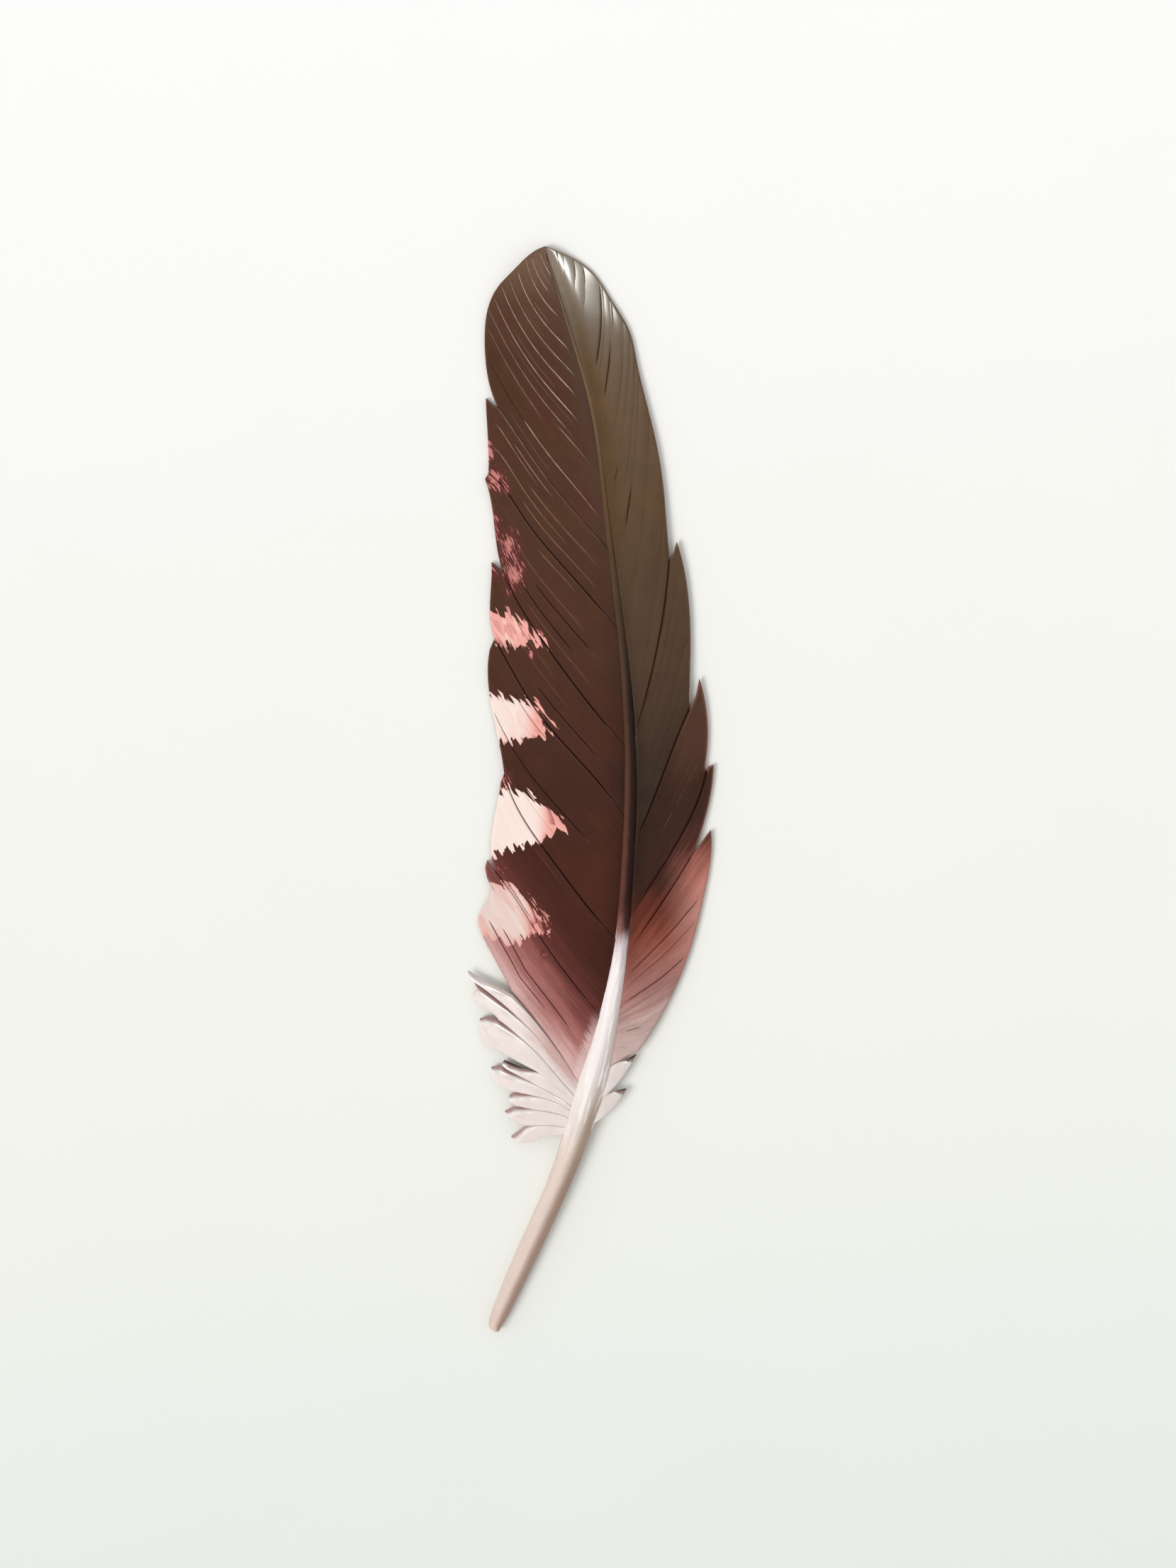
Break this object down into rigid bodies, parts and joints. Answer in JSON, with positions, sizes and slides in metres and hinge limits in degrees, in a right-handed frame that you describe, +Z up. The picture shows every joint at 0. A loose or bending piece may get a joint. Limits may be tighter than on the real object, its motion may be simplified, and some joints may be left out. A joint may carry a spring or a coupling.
{
  "type": "feather quill",
  "caption": "Carved wooden feather quill: a tapered shaft with cambered barb leaves and shingled down tufts, rounded uncut calamus end.",
  "frame": {"origin": "under the middle of the quill, on the plane that it rests on", "axes": "+Y along the quill towards the tip of the vane, +X to the right seen from above, +Z up from the resting plane"},
  "size_m": [0.0566, 0.25, 0.0062],
  "materials": {
    "shaft_wood": "bare and cream-painted wood, satin",
    "painted_brown": "dark brown paint with pale bars, satin varnish",
    "painted_rose": "rosy brown paint, satin varnish",
    "painted_cream": "cream paint, satin varnish"
  },
  "bodies": {
    "root": {"shaft": "shaft_wood", "left_vane_1": "painted_brown", "left_vane_2": "painted_brown", "left_vane_3": "painted_brown", "left_vane_4": "painted_brown", "left_vane_5": "painted_brown", "left_vane_6": "painted_brown", "left_vane_7": "painted_rose", "right_vane_1": "painted_brown", "right_vane_2": "painted_brown", "right_vane_3": "painted_brown", "right_vane_4": "painted_brown", "right_vane_5": "painted_rose", "left_down_1": "painted_cream", "left_down_2": "painted_cream", "left_down_3": "painted_cream", "left_down_4": "painted_cream", "left_down_5": "painted_cream", "left_down_6": "painted_cream", "left_down_7": "painted_cream", "left_down_8": "painted_cream", "right_down_1": "painted_cream", "right_down_2": "painted_cream"}
  },
  "joints": []
}
